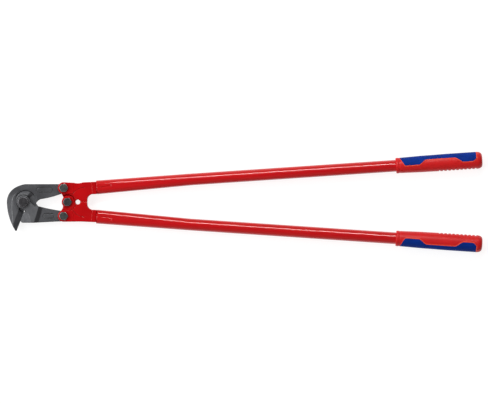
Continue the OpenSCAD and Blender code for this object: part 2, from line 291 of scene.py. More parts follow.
def mark_wear_and_highlight(bm, step, highlight_at=None):
    """Stores how sharply each point of a skin stands out, for the wear along its edges, and a painted highlight
    along the ridge lines that the line function gives.
    """
    layer = bm.verts.layers.float.new("wear_and_highlight")
    for vert in bm.verts:
        around = [edge.other_vert(vert).co for edge in vert.link_edges]
        middle = sum(around, Vector()) / len(around)
        vert[layer] = max(0.0, (vert.co - middle).dot(vert.normal) / step)
    calm = {}
    for vert in bm.verts:
        near = [edge.other_vert(vert)[layer] for edge in vert.link_edges]
        calm[vert] = sum(near) / len(near)
    for vert, value in calm.items():
        # Ridge lines on the front get a painted highlight, stored with the wear.
        line = highlight_at(vert.co) if highlight_at and vert.normal.z > 0.8 else 0.0
        vert[layer] = max(line, smooth_step(0.03, 0.16, (vert[layer] + value) / 2))


def mark_corners(bm, faces):
    """Stores wear on the rounded corners only."""
    layer = bm.loops.layers.float.new("wear_and_highlight")
    for face in faces:
        for loop in face.loops:
            loop[layer] = 1


def mark_ground(bm, share_at):
    """Stores the share of the lighter ground colour at each point, on the faces that lie nearly flat; on the upper
    jaw's pocket floor part of it is painted light, and on the lower blade's slope the smaller share is painted
    shade.
    """
    layer = bm.verts.layers.float.new("ground")
    for vert in bm.verts:
        vert[layer] = share_at(vert.co) * smooth_step(0.93, 0.955, vert.normal.z)


def mark_painted_shade(bm, share_at):
    """Stores how much painted shade each point of the front gets, darkening its grooves, creases and ramp."""
    layer = bm.verts.layers.float.new("painted_shade")
    for vert in bm.verts:
        vert[layer] = share_at(vert.co) if vert.normal.z > 0.2 else 0.0


def fill_to(bm, level_at, lowest):
    """Raises the skin above a level, where it is lower than a surface, up to that surface."""
    for vert in bm.verts:
        if vert.co.z > lowest:
            vert.co.z = max(vert.co.z, level_at(vert.co))
    bm.normal_update()


def forging(node, edge_radius, step):
    """A CAD node's shape with its edges rounded, as one skin of even squares."""
    bm = merged_copy(node)
    round_edges(bm, corner_edges(bm, math.radians(40)), edge_radius)
    return recast(bm, step)


def place_mesh(bm, name, material):
    """Puts a mesh into the scene as an object with one material."""
    mesh = bpy.data.meshes.new(name)
    bm.to_mesh(mesh)
    bm.free()
    mesh.materials.append(material)
    placed = bpy.data.objects.new(name, mesh)
    bpy.context.scene.collection.objects.link(placed)
    return placed


def finish_piece(bm, name, material, node, even=True):
    """Makes a mesh into a piece that stands for a CAD node and moves with it."""
    bm.normal_update()
    for face in bm.faces:
        face.smooth = True
    piece = place_mesh(bm, name, material)
    if not even:
        piece.data.set_sharp_from_angle(angle=math.radians(35))
        weighting = piece.modifiers.new("Flat faces", "WEIGHTED_NORMAL")
        weighting.keep_sharp = True
    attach(piece, BODY_OF[node])
    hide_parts(node)


def finish_pair(make_mesh, part, ending, material):
    """Makes a part of the upper handle, and the same part turned over for the lower one."""
    for side in SIDES:
        bm = make_mesh()
        if side == "lower":
            bmesh.ops.transform(bm, matrix=TURN_OVER, verts=bm.verts)
        finish_piece(bm, f"{side}_{part}_{ending}", material, f"{side}_{part}")


# ---------- materials ----------

class Finish:
    """A material whose nodes are added one after another."""

    def __init__(self, name, roughness, metallic=0.0, coat=0.0, coat_roughness=0.1, specular=0.5):
        self.material = bpy.data.materials.new(name)
        self.material.use_nodes = True
        self.tree = self.material.node_tree
        self.shader = self.tree.nodes["Principled BSDF"]
        self.shader.inputs["Metallic"].default_value = metallic
        self.shader.inputs["Roughness"].default_value = roughness
        self.shader.inputs["Specular IOR Level"].default_value = specular
        self.shader.inputs["Coat Weight"].default_value = coat
        self.shader.inputs["Coat Roughness"].default_value = coat_roughness
        self.place = self.tree.nodes.new("ShaderNodeTexCoord").outputs["Object"]

    def link(self, source, socket):
        self.tree.links.new(source, socket)

    def noise(self, scale, detail=2.0, stretch=(1, 1, 1)):
        """Cloudy noise with a scale in cycles per metre, stretched along an axis."""
        mapping = self.tree.nodes.new("ShaderNodeMapping")
        mapping.inputs["Scale"].default_value = stretch
        self.link(self.place, mapping.inputs["Vector"])
        node = self.tree.nodes.new("ShaderNodeTexNoise")
        node.inputs["Scale"].default_value = scale
        node.inputs["Detail"].default_value = detail
        self.link(mapping.outputs["Vector"], node.inputs["Vector"])
        return node.outputs["Fac"]

    def cloudy(self, scale, detail, least=0.0, most=1.0, stretch=(1, 1, 1)):
        """Cloudy noise that ranges between two values."""
        return self.between(self.noise(scale, detail, stretch), 0.3, 0.7, least, most)

    def pits(self, scale, smoothness=0.4):
        """Rounded cells, as shot blasting leaves."""
        node = self.tree.nodes.new("ShaderNodeTexVoronoi")
        node.feature = "SMOOTH_F1"
        node.inputs["Scale"].default_value = scale
        node.inputs["Smoothness"].default_value = smoothness
        self.link(self.place, node.inputs["Vector"])
        return node.outputs["Distance"]

    def stored(self, name):
        """A value that is stored in the mesh, such as how worn an edge is."""
        node = self.tree.nodes.new("ShaderNodeAttribute")
        node.attribute_name = name
        return node.outputs["Fac"]

    def between(self, source, low, high, to_low=0.0, to_high=1.0):
        """Stretches a value's range from low..high to to_low..to_high."""
        node = self.tree.nodes.new("ShaderNodeMapRange")
        for name, value in (("From Min", low), ("From Max", high), ("To Min", to_low), ("To Max", to_high)):
            node.inputs[name].default_value = value
        self.link(source, node.inputs["Value"])
        return node.outputs["Result"]

    def math(self, operation, first, second):
        """One sum of two values, of which the second may be a plain number."""
        node = self.tree.nodes.new("ShaderNodeMath")
        node.operation = operation
        self.link(first, node.inputs[0])
        if isinstance(second, (int, float)):
            node.inputs[1].default_value = second
        else:
            self.link(second, node.inputs[1])
        return node.outputs["Value"]

    def rubbed(self, scale, least=0.0, most=1.0):
        """The wear along the edges, with the painted ridge highlights that are stored with it, broken up into
        patches.
        """
        patches = self.between(self.noise(scale, detail=3), 0.3, 0.6, least, most)
        return self.math("MULTIPLY", self.stored("wear_and_highlight"), patches)

    def mix(self, share, first, second):
        """A colour between two, either of which may be another mix."""
        node = self.tree.nodes.new("ShaderNodeMix")
        node.data_type = "RGBA"
        self.link(share, node.inputs["Factor"])
        for socket, colour in ((node.inputs[6], first), (node.inputs[7], second)):
            if isinstance(colour, bpy.types.NodeSocket):
                self.link(colour, socket)
            else:
                socket.default_value = (*colour, 1)
        return node.outputs[2]

    def colour(self, source):
        self.link(source, self.shader.inputs["Base Color"])

    def roughness(self, source):
        self.link(source, self.shader.inputs["Roughness"])

    def bump(self, *layers):
        """Lays bumps over each other, each a height source with its depth in metres."""
        normal = None
        for height, depth in layers:
            node = self.tree.nodes.new("ShaderNodeBump")
            node.inputs["Distance"].default_value = depth
            self.link(height, node.inputs["Height"])
            if normal:
                self.link(normal, node.inputs["Normal"])
            normal = node.outputs["Normal"]
        self.link(normal, self.shader.inputs["Normal"])


def shaded(colour, share):
    """A colour made darker or lighter by a share."""
    return tuple(min(1.0, part * share) for part in colour)


def jaw_steel(settings, name):
    """Dark oxide on a shot-blasted forging, lighter where its edges have rubbed, with painted highlights along its
    ridge lines and painted shade in its grooves and on its ramp.
    """
    steel = Finish(name, roughness=0.45, metallic=0.25, specular=0.4)
    clouds = steel.between(steel.noise(38, detail=5), 0.35, 0.65)
    scale_skin = steel.noise(900, detail=3)
    oxide = steel.mix(clouds, shaded(settings.colour, 0.82), shaded(settings.colour, 1.15))
    ground = steel.mix(clouds, shaded(settings.ground_colour, 0.9), shaded(settings.ground_colour, 1.08))
    # Lighter ground colour; on the upper jaw's pocket floor it is partly painted light.
    unshaded = steel.mix(steel.stored("ground"), oxide, ground)
    # Painted shade: the oxide darkened in the panel grooves, at the foot of the pocket wall and on the lower jaw's
    # ramp.
    base = steel.mix(steel.stored("painted_shade"), unshaded, shaded(settings.colour, 0.35))
    # Worn colour on the rubbed edges, and as painted highlights along the ridge lines.
    steel.colour(steel.mix(steel.rubbed(260), base, settings.worn_colour))
    steel.roughness(steel.cloudy(140, 4, 0.36, 0.56))
    steel.bump((steel.pits(620), 0.10 * MM), (scale_skin, 0.06 * MM))
    return steel.material


def red_paint(settings, name, brightness, gloss, streaks):
    """Powder coat with a faint orange peel, thinner on the edges, and darkened by painted shade in the yokes'
    creases.
    """
    colour = shaded(settings.colour, brightness)
    paint = Finish(name, roughness=0.36, coat=gloss, coat_roughness=0.05, specular=0.06)
    clouds = paint.cloudy(30, 4, stretch=streaks)
    base = paint.mix(clouds, shaded(colour, 0.9), shaded(colour, 1.06))
    unshaded = paint.mix(paint.rubbed(180), base, settings.worn_colour)
    # Painted shade: the paint darkened in the creases and around the lug recess of the yokes' fronts.
    paint.colour(paint.mix(paint.stored("painted_shade"), unshaded, shaded(colour, 0.5)))
    paint.roughness(paint.cloudy(90, 4, 0.30, 0.46, streaks))
    peel, waves = paint.noise(420), paint.noise(60, stretch=streaks)
    paint.bump((peel, 0.014 * MM), (waves, 0.05 * MM))
    return paint.material


def grip_plastic(settings):
    """Spark-textured hard plastic, with a painted highlight in a lighter red along the bead around the inlay."""
    plastic = Finish("grip_plastic", roughness=0.42, specular=0.32)
    clouds = plastic.cloudy(45, 4)
    base = plastic.mix(clouds, shaded(settings.colour, 0.93), shaded(settings.colour, 1.05))
    # Painted highlight along the bead around the inlay.
    plastic.colour(plastic.mix(plastic.stored("wear_and_highlight"), base, settings.bead_highlight_colour))
    plastic.roughness(plastic.cloudy(160, 3, 0.34, 0.48))
    plastic.bump((plastic.noise(1500, detail=2), 0.05 * MM), (plastic.pits(900), 0.03 * MM))
    return plastic.material


def inlay_rubber(settings):
    """Soft matte moulding with a fine leathery grain and slightly rubbed edges."""
    rubber = Finish("inlay_rubber", roughness=0.65, specular=0.07)
    clouds = rubber.cloudy(55, 4)
    base = rubber.mix(clouds, shaded(settings.inlay_colour, 0.85), shaded(settings.inlay_colour, 1.12))
    rubbed = rubber.math("MULTIPLY", rubber.stored("wear_and_highlight"), 0.35)
    rubber.colour(rubber.mix(rubbed, base, shaded(settings.inlay_colour, 2.2)))
    rubber.roughness(rubber.cloudy(200, 3, 0.5, 0.68))
    rubber.bump((rubber.pits(1100), 0.06 * MM), (rubber.noise(2200, detail=2), 0.03 * MM))
    return rubber.material


def bolt_oxide(name, colour):
    """Black oxide with scuffed corners and faint wrench marks."""
    oxide = Finish(name, roughness=0.36, metallic=0.7)
    clouds = oxide.cloudy(210, 4)
    base = oxide.mix(clouds, shaded(colour, 0.8), shaded(colour, 1.25))
    scuffs = oxide.between(oxide.noise(320, detail=4, stretch=(1, 0.12, 1)), 0.56, 0.66, 0, 0.35)
    marked = oxide.mix(scuffs, base, shaded(colour, 2.4))
    oxide.colour(oxide.mix(oxide.rubbed(500, 0.2, 0.9), marked, shaded(colour, 4.5)))
    oxide.roughness(oxide.cloudy(260, 3, 0.3, 0.48))
    oxide.bump((oxide.noise(1300, detail=2), 0.03 * MM), (oxide.noise(330, detail=2), 0.05 * MM))
    return oxide.material


def washer_zinc(colour):
    """Zinc plating with fine rolling lines."""
    zinc = Finish("washer_zinc", roughness=0.3, metallic=1.0)
    clouds = zinc.cloudy(150, 4)
    zinc.colour(zinc.mix(clouds, shaded(colour, 0.85), shaded(colour, 1.1)))
    zinc.roughness(zinc.cloudy(300, 3, 0.24, 0.4, (0.1, 1, 1)))
    zinc.bump((zinc.noise(900, detail=2, stretch=(0.06, 1, 1)), 0.02 * MM))
    return zinc.material


def floor_white():
    """Matt studio board with a very faint tooth, lit from within so that it stays white in the shade."""
    board = Finish("floor_board", roughness=0.9, specular=0.1)
    darker, lighter = (0.24,) * 3, (0.27,) * 3
    board.colour(board.mix(board.noise(6, detail=3), darker, lighter))
    board.bump((board.noise(500, detail=2), 0.02 * MM))
    board.shader.inputs["Emission Color"].default_value = (1, 1, 1, 1)
    board.shader.inputs["Emission Strength"].default_value = 0.86
    return board.material


# ---------- jaws ----------

PLAQUE_CORNER = 2 * MM
ARM_TOP = PIVOT.z + 5 * MM
POCKET_MIDDLE, POCKET_RADIUS = Vector((4.2 * MM, 2.2 * MM)), 21.6 * MM
BLADE_TOP = -19.2 * MM
BLADE_SLANT = 14.2 / 37.6
BLADE_ROOT = -15 * MM
BOSS_ROOM, POCKET_REACH = 14.3 * MM, 30 * MM
GROOVE_INSET, GROOVE_DEPTH = 0.9 * MM, 0.5 * MM
UPPER_PLAQUE = ((25 * MM, 18.5 * MM), (59 * MM, 30 * MM))
LOWER_PLAQUE = ((38 * MM, -33.2 * MM), (62 * MM, -22.6 * MM))


def plaque_outline(place, panel):
    """Distance inwards from the round-ended outline of a panel."""
    low, high = panel
    return panel_inset(place.x, place.y, low, high, 0.48 * (high[1] - low[1]))


def plaque_level(place, panel):
    """Height of a panel's face, level with the arm inside a groove that runs around it."""
    if panel_inset(place.x, place.y, *panel, PLAQUE_CORNER) < -0.7 * MM:
        return BELOW_ALL
    return ARM_TOP - GROOVE_DEPTH * hump(plaque_outline(place, panel) - GROOVE_INSET, 1.0 * MM)


def plaque_groove_shade(place, panel):
    """Painted shade in the groove around a panel."""
    return hump(plaque_outline(place, panel) - GROOVE_INSET, 1.5 * MM)


def around_pocket(place):
    """Distance inwards from the pocket's wall, and the turn in degrees around the pivot."""
    inside = POCKET_RADIUS - (place.xy - POCKET_MIDDLE).length
    return inside, math.degrees(math.atan2(place.y, place.x)) % 360


def pocket_wall_shade(place):
    """Painted shade along the foot of the pocket's wall, on the side away from the blades."""
    inside, turn = around_pocket(place)
    return hump(inside - 0.6 * MM, 1.4 * MM) * smooth_step(20, 60, turn) * (1 - smooth_step(130, 165, turn))


def upper_painted_shade(place):
    """Where painted shade sits on the upper jaw."""
    return max(plaque_groove_shade(place, UPPER_PLAQUE), 0.7 * pocket_wall_shade(place))


def lower_painted_shade(place):
    """Where painted shade sits on the lower jaw: around its panel, and on the ramp behind its head, which faces
    away from the light.
    """
    on_ramp = 20 * MM < place.x < 36 * MM
    foot, top = ARM_TOP, PIVOT.z + 9 * MM
    ramp = smooth_step(foot, foot + 0.4 * MM, place.z) * smooth_step(top, top - 0.4 * MM, place.z)
    return max(plaque_groove_shade(place, LOWER_PLAQUE), 0.45 * ramp * on_ramp)


def beyond_ridge(place):
    """Distance outwards from the ridge line along the hook's rim, and how clear the ridge is there."""
    ridge, rim_end, bend, slant = 22.4 * MM, 10 * MM, -16 * MM, 0.062
    if place.x > rim_end:
        return 0.0, 0.0
    if place.y > 0:
        turn = math.degrees(math.atan2(place.y, -place.x))
        return math.hypot(place.x, place.y) - ridge, 1 - smooth_step(20, 62, turn)
    return -place.x - ridge + slant * max(0.0, bend - place.y), 1.0


def hook_rim(place, settings):
    """Shapes the hook's outer rim: a thin ridge, outside which the face falls away."""
    beyond, clear = beyond_ridge(place)
    return clear * (settings.ridge_height * hump(beyond, 1.0 * MM) - settings.rim_slope * max(0.0, beyond))


def hook_ridge_highlight(place):
    """How much painted highlight the hook's ridge line gets."""
    beyond, clear = beyond_ridge(place)
    return clear * hump(beyond, 1.3 * MM)


def pocket_level(place):
    """Height of the dished floor around the boss, where no part of the lower jaw sweeps."""
    inside, turn = around_pocket(place)
    from_pivot = place.xy.length
    if inside < -0.2 * MM or from_pivot < BOSS_ROOM or from_pivot > POCKET_REACH:
        return BELOW_ALL
    half_lap, ring, wall_foot, sag = -0.15 * MM, 4.5 * MM, 4.9 * MM, 0.9 * MM
    fade = smooth_step(32, 60, turn) * (1 - smooth_step(232, 242, turn))
    dish = ring - sag * smooth_step(BOSS_ROOM, 20 * MM, from_pivot) * smooth_step(175, 140, turn)
    lift = (wall_foot - dish) * (1 - smooth_step(0, 2.2 * MM, inside))
    return PIVOT.z + half_lap + fade * (dish + lift)


def blade_ridge_x(y):
    """Where the lower blade's ground face meets its flat face."""
    share = min(1.0, max(0.0, (y + 44 * MM) / (30 * MM)))
    return -2 * MM + 16 * MM * math.sqrt(1 - share * share)


def upper_ground_and_painted_light(place):
    """How much of the lighter ground colour the upper jaw gets: the ground hook, and the pocket's floor that the
    lower jaw slides on, where it is partly painted light that lifts the shade under the pocket's wall.
    """
    hook = smooth_step(-4 * MM, -16 * MM, place.x) * smooth_step(20 * MM, 6 * MM, place.y)
    floor = smooth_step(PIVOT.z + 4.6 * MM, PIVOT.z + 3.8 * MM, place.z) * (place.xy.length < POCKET_REACH)
    return 0.75 * max(hook, floor * (place.y > -12 * MM))


def lower_ground_and_painted_shade(place):
    """How much of the lighter ground colour the lower jaw gets: its ground head, and only half on the blade's
    sloping face, painted shade where that slope faces the key light.
    """
    head = smooth_step(PIVOT.z + 4.6 * MM, PIVOT.z + 6.2 * MM, place.z)
    slope = smooth_step(1 * MM, -1 * MM, place.x - blade_ridge_x(place.y)) * (place.y < BLADE_ROOT)
    return head * (1 - 0.5 * slope)


def blade_ridge_highlight(place):
    """How much painted highlight the lower blade's curved ridge gets."""
    if place.y > BLADE_ROOT or place.z < PIVOT.z + 6 * MM:
        return 0.0
    return 0.7 * hump(place.x - blade_ridge_x(place.y), 1.1 * MM)


def hone(bm, side):
    """Draws a blade's edge out to a sharp line, to the right with side 1 and to the left with side -1."""
    top, along = Vector((0.8 * MM, BLADE_TOP)), Vector((-BLADE_SLANT, -1)).normalized()
    right = Vector((-along.y, along.x))
    gap = 0.35 * MM if side < 0 else 0
    draw, reach, half_edge = 0.45 * MM, 2.2 * MM, 2 * MM
    for vert in bm.verts:
        from_top = vert.co.xy - top
        down = from_top.dot(along)
        if down > -1 * MM and abs(vert.co.z - PIVOT.z) <= half_edge:
            share = hump(from_top.dot(right) - gap, reach) * smooth_step(-1 * MM, 2 * MM, down)
            vert.co.xy += side * draw * share * right
    bm.normal_update()


def blade_grind(place):
    """Shapes the lower blade's ground face, hollow from its curved ridge to the cutting edge."""
    edge_x = 1.2 * MM + (place.y - BLADE_TOP) * BLADE_SLANT
    ridge_x = blade_ridge_x(place.y)
    edge_z, hollow = PIVOT.z + 6.2 * MM, 2.8 * MM
    if place.y > BLADE_ROOT or place.z < PIVOT.z + 4 * MM:
        return 0.0
    share = min(1.0, max(0.0, (place.x - edge_x) / max(ridge_x - edge_x, 1 * MM)))
    ground = edge_z + hollow * share
    fade = smooth_step(BLADE_ROOT, -18 * MM, place.y) * (1 - smooth_step(17 * MM, 20 * MM, place.x))
    return fade * (ground - place.z)


def finish_jaw(skin, settings, node, ground_at, shade_at, highlight_at):
    """Marks where a jaw is ground, where it gets painted shade and painted highlights, and where it is worn, and
    makes it into its piece.
    """
    mark_ground(skin, ground_at)
    mark_painted_shade(skin, shade_at)
    mark_wear_and_highlight(skin, settings.skin_step, highlight_at)
    finish_piece(skin, f"{node}_forging", jaw_steel(settings, f"{node}_oxide"), node)


class CUTTER_OT_upper_jaw(bpy.types.Operator):
    """Forges the hooked upper jaw"""
    bl_idname = "cutter.upper_jaw"
    bl_label = "Upper Jaw"

    def execute(self, context):
        settings = context.scene.cutter.jaw
        skin = forging("upper_jaw", settings.edge_radius, settings.skin_step)
        press(skin, FRONT, lambda at: hook_rim(at, settings))
        fill_to(skin, lambda at: plaque_level(at, UPPER_PLAQUE), PIVOT.z + 3 * MM)
        fill_to(skin, pocket_level, PIVOT.z - 0.6 * MM)
        hone(skin, 1)
        finish_jaw(skin, settings, "upper_jaw", upper_ground_and_painted_light, upper_painted_shade, hook_ridge_highlight)
        return {"FINISHED"}


class CUTTER_OT_lower_jaw(bpy.types.Operator):
    """Forges the flat lower jaw with its boss"""
    bl_idname = "cutter.lower_jaw"
    bl_label = "Lower Jaw"

    def execute(self, context):
        settings = context.scene.cutter.jaw
        skin = forging("lower_jaw", settings.edge_radius, settings.skin_step)
        fill_to(skin, lambda at: plaque_level(at, LOWER_PLAQUE), PIVOT.z + 3 * MM)
        press(skin, FRONT, blade_grind)
        hone(skin, -1)
        finish_jaw(skin, settings, "lower_jaw", lower_ground_and_painted_shade, lower_painted_shade, blade_ridge_highlight)
        return {"FINISHED"}


# ---------- yokes ----------

YOKE_SWEEP = curve_points((123 * MM, 0), 29.4 * MM, 146, 92)
LUG_RECESS = 17.4 * MM


def past(distance):
    """0 before a line and 1 past it, over a narrow step."""
    return smooth_step(-0.35 * MM, 0.35 * MM, distance)


def yoke_crease_shade(place):
    """Painted shade in the creases of the front face of the upper yoke."""
    sweep = hump(path_distance(place.x, place.y, YOKE_SWEEP), 1.1 * MM)
    recess = hump((place.xy - CENTRE.xy).length - LUG_RECESS, 1.1 * MM)
    return max(sweep, recess)


def yoke_relief(place, height):
    """Height of the steps forged into the front face of the upper yoke."""
    x, y = place.x, place.y
    cheek_right, cheek_low = 99.3 * MM, 16.8 * MM
    shoulder_x, shoulder_y, slant = 137.5 * MM, 28 * MM, 0.08
    cheek = height * past(cheek_right - x) * past(y - cheek_low)
    crease = -0.7 * height * hump(path_distance(x, y, YOKE_SWEEP), 0.8 * MM)
    shoulder = 0.8 * height * hump(x - shoulder_x + slant * (y - shoulder_y), 1.0 * MM)
    lug = -0.5 * height * hump((place.xy - CENTRE.xy).length - LUG_RECESS, 0.8 * MM)
    return cheek + crease + shoulder + lug


def square_stop(bm, flip):
    """Flattens a yoke's stop face, on which the other yoke's comes to rest."""
    near, stop_start, half_gap = 0.5 * MM, CENTRE.x + 22 * MM, 0.02 * MM
    for vert in bm.verts:
        if abs(vert.co.y) < near and vert.co.x > stop_start:
            vert.co.y = flip * half_gap
    bm.normal_update()


class CUTTER_OT_yokes(bpy.types.Operator):
    """Forges the two yokes that hold the jaws and the tubes"""
    bl_idname = "cutter.yokes"
    bl_label = "Yokes"

    def execute(self, context):
        settings = context.scene.cutter.yoke
        step = context.scene.cutter.jaw.skin_step
        paint = red_paint(settings, "yoke_paint", 1.0, 0.15, (1, 1, 1))
        for side in SIDES:
            node = f"{side}_yoke"
            skin = forging(node, settings.edge_radius, step)
            flip = 1 if side == "upper" else -1
            as_upper = Vector((1, flip, 1))
            for facing in (FRONT, BACK):
                press(skin, facing, lambda at: yoke_relief(at * as_upper, settings.step_height))
            square_stop(skin, flip)
            mark_wear_and_highlight(skin, step)
            # Painted shade in the creases and around the lug recess of the front.
            mark_painted_shade(skin, lambda at: yoke_crease_shade(at * as_upper))
            finish_piece(skin, f"{side}_yoke_forging", paint, node)
        return {"FINISHED"}


# ---------- tubes ----------

def handle_axes(angle):
    """Directions along and outwards from the upper handle, at an angle to the centre line."""
    return Vector((math.cos(angle), math.sin(angle), 0)), Vector((-math.sin(angle), math.cos(angle), 0))


def neck_mouth():
    """Middle of the upper tube's open end, where it meets the yoke."""
    return CENTRE + Vector((58 * MM, 29.2 * MM, 0))


def bend_point(tube):
    """Where the upper tube's neck meets its straight part."""
    return neck_mouth() + tube.neck_length * handle_axes(tube.neck_angle)[0]


def grip_end(tube):
    """Middle of the end of the upper grip."""
    along = handle_axes(tube.straight_angle)[0]
    return bend_point(tube) + along * (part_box("upper_grip")[1].x - bend_point(tube).x) / along.x


def crimp_depth(tube, place, across):
    """Depth of the slanted crimp mark and its short cross cut, at a place along and across the neck."""
    mark = ((9 * MM, -0.7 * MM), (28 * MM, 0.7 * MM), (28.6 * MM, 3.6 * MM))
    return tube.dent_depth * smooth_step(1.4 * MM, 0.5 * MM, path_distance(place, across, mark))


def add_ring(bm, middle, outward, radius, shift, dent_at=None):
    """One ring of the tube: an oval of two half circles, dented at its front and back."""
    sides, crowding = 128, 0.5
    ring = bmesh.ops.create_circle(bm, segments=sides, radius=1)["verts"]
    for vert in ring:
        turn = math.atan2(vert.co.y, vert.co.x)
        turn += crowding / 2 * math.sin(2 * turn)
        wide, up = math.cos(turn), math.sin(turn)
        across = radius * wide + shift * max(-1.0, min(1.0, wide * 4))
        dent = dent_at(across) if dent_at and abs(up) > 0.5 else 0.0
        vert.co = middle + outward * across + Vector((0, 0, up * radius - math.copysign(dent, up)))
    return ring


def ring_edges(ring):
    """The edges that join a ring's own points."""
    inside = set(ring)
    return [edge for edge in {e for vert in ring for e in vert.link_edges} if inside.issuperset(edge.verts)]


class CUTTER_OT_tubes(bpy.types.Operator):
    """Draws the two handle tubes, from the crimped oval neck to the round end"""
    bl_idname = "cutter.tubes"
    bl_label = "Tubes"

    def execute(self, context):
        settings, tube = context.scene.cutter.yoke, context.scene.cutter.tube
        # The tubes get the yokes' paint made 1.1 times lighter: a lighter copy of the same paint, painted light.
        paint = red_paint(settings, "tube_paint", 1.1, 0.95, (0.05, 1, 1))
        finish_pair(lambda: self.tube_mesh(tube), "tube", "painted", paint)
        return {"FINISHED"}

    def tube_mesh(self, tube):
        """The upper tube: rings along the neck and the straight part, bridged into one skin."""
        bm = bmesh.new()
        along, outward = handle_axes(tube.neck_angle)
        straight, straight_out = handle_axes(tube.straight_angle)
        mouth, bend = neck_mouth(), bend_point(tube)
        bore, lip, end_cover = tube.neck_radius - 2.8 * MM, 0.9 * MM, 12.6 * MM
        rings = [
            add_ring(bm, mouth + along * depth, outward, bore, tube.neck_shift)
            for depth in (6 * MM, 0.2 * MM)]
        for turn in (0, 30, 60, 90):
            out = lip * math.sin(math.radians(turn)) - lip
            back = lip * (1 - math.cos(math.radians(turn)))
            rings.append(add_ring(
                bm, mouth + along * back, outward, tube.neck_radius + out, tube.neck_shift))
        crimped = [2 * MM + 0.6 * MM * i for i in range(60)]
        tapered = [42 * MM + 8 * MM * i for i in range(18)]
        for place in crimped + tapered:
            share = place / tube.neck_length
            radius = tube.neck_radius + (tube.diameter / 2 - tube.neck_radius) * share
            rings.append(add_ring(
                bm, mouth + along * place, outward, radius, tube.neck_shift * (1 - share),
                lambda across: crimp_depth(tube, place, across)))
        length = (grip_end(tube) - bend).length - end_cover
        for share in [0.004] + [i / 24 for i in range(1, 25)]:
            place = bend + straight * length * share
            rings.append(add_ring(bm, place, straight_out, tube.diameter / 2, 0))
        for first, second in zip(rings, rings[1:]):
            bmesh.ops.bridge_loops(bm, edges=ring_edges(first) + ring_edges(second))
        for ring in (rings[0], rings[-1]):
            bmesh.ops.contextual_create(bm, geom=ring_edges(ring))
        bmesh.ops.recalc_face_normals(bm, faces=bm.faces)
        mark_corners(bm, [])
        return bm


# ---------- grips ----------

def grip_radius(grip, distance):
    """Radius of the grip's skin at a distance from its front lip."""
    length, widest = grip.length, grip.diameter / 2
    front, groove, start = widest - 1.4 * MM, widest - 2 * MM, widest - 1.7 * MM
    lip_round, lip_drop, neck_end = 2 * MM, 0.8 * MM, 9 * MM
    rear_round, end_radius = 11 * MM, 0.55 * widest
    swell_end, full_at = 0.36 * length, 0.6 * length
    body = start + 1.2 * MM * smooth_step(0, swell_end, distance)
    body += 0.5 * MM * smooth_step(swell_end, full_at, distance)
    if distance < neck_end:
        share = 1 - min(1.0, distance / lip_round)
        lip = front - lip_drop * (1 - math.sqrt(max(0.0, 1 - share ** 2)))
        body = lip + (groove - lip) * smooth_step(4.6 * MM, 6.2 * MM, distance)
        body += (start - body) * smooth_step(6.6 * MM, neck_end, distance)
    if distance > length - rear_round:
        share = (distance - length + rear_round) / rear_round
        body = end_radius + (widest - end_radius) * math.sqrt(max(0.0, 1 - share ** 2.4))
    return body


def inlay_ends(grip):
    """Distances from the front lip to the inlay's two ends."""
    return 8.2 * MM, grip.length - 12 * MM


def inlay_half_angle(grip, distance):
    """Half the angle that the inlay covers around the grip, from its outer side."""
    widest, length = grip.diameter / 2, grip.length
    low, high, tip, heel = -1.3 * MM, 0.5 * widest, 0.92 * widest, 0.45 * widest
    front, rear = inlay_ends(grip)
    edge = low + (tip - low) * (1 - soft_slope(front - 2 * MM, front + 11 * MM, distance))
    waist = soft_slope(45 * MM, 61.5 * MM, distance)
    waist *= 1 - soft_slope(length - 55.5 * MM, length - 37 * MM, distance)
    edge += (high - low) * waist
    heel_round, fullest = 10 * MM, 0.96
    turn = min(fullest, max(0.0, (distance - rear + heel_round) / heel_round))
    edge += (heel - low) * (1 - math.sqrt(1 - turn * turn))
    return math.acos(max(-0.999, min(0.999, edge / grip_radius(grip, distance))))


def grip_stations(grip):
    """Distances of the grip's rings, close together at the lip, the inlay's ends, the ribs and the rear."""
    length = grip.length
    front, rear = inlay_ends(grip)
    stations = {round(i * 0.5, 3) for i in range(20)} | {round(10 + 1.2 * i, 3) for i in range(100)}
    for end in (front, rear):
        stations |= {round(end / MM + 0.3 * i, 3) for i in range(-5, 6)}
    stations |= {round(length / MM - 14 - 0.8 * i, 3) for i in range(100)}
    stations |= {round(length / MM - 11 * (1 - math.sin(math.radians(6 * i))), 3) for i in range(16)}
    kept = []
    for station in sorted(s for s in stations if 0 <= s <= length / MM):
        if not kept or station - kept[-1] > 0.22:
            kept.append(station)
    return [station * MM for station in kept]


def rib_drop(grip, distance, off_inner):
    """Depth of the finger ribs at an angle off the inner side of the grip."""
    pitch, half_width, last = 8 * MM, 2.6 * MM, 14 * MM
    widest = grip.diameter / 2
    from_end = grip.length - last - distance
    nearest = round(from_end / pitch)
    if not 0 <= nearest < grip.rib_count:
        return 0.0
    radius = grip_radius(grip, distance)
    flat = radius * math.cos(off_inner) - (widest - grip.rib_depth - 0.25 * MM)
    return max(0.0, flat) * hump(from_end - nearest * pitch, half_width) if math.cos(off_inner) > 0 else 0.0


def border_distance(grip, distance, angle):
    """Distance along the skin from the inlay's outline, less than 0 on the inlay."""
    front, rear = inlay_ends(grip)
    around = (abs(angle) - inlay_half_angle(grip, distance)) * grip_radius(grip, distance)
    return max(around, front - distance, distance - rear)


class GripPlacer:
    """Places points given by distance, angle and radius on the upper handle."""

    def __init__(self, tube, grip):
        self.along, self.outward = handle_axes(tube.straight_angle)
        self.start = grip_end(tube) - self.along * grip.length

    def at(self, distance, angle, radius):
        """The point at an angle from the outer side, turning towards the front."""
        across = self.outward * math.cos(angle) + Vector((0, 0, math.sin(angle)))
        return self.start + self.along * distance + across * radius


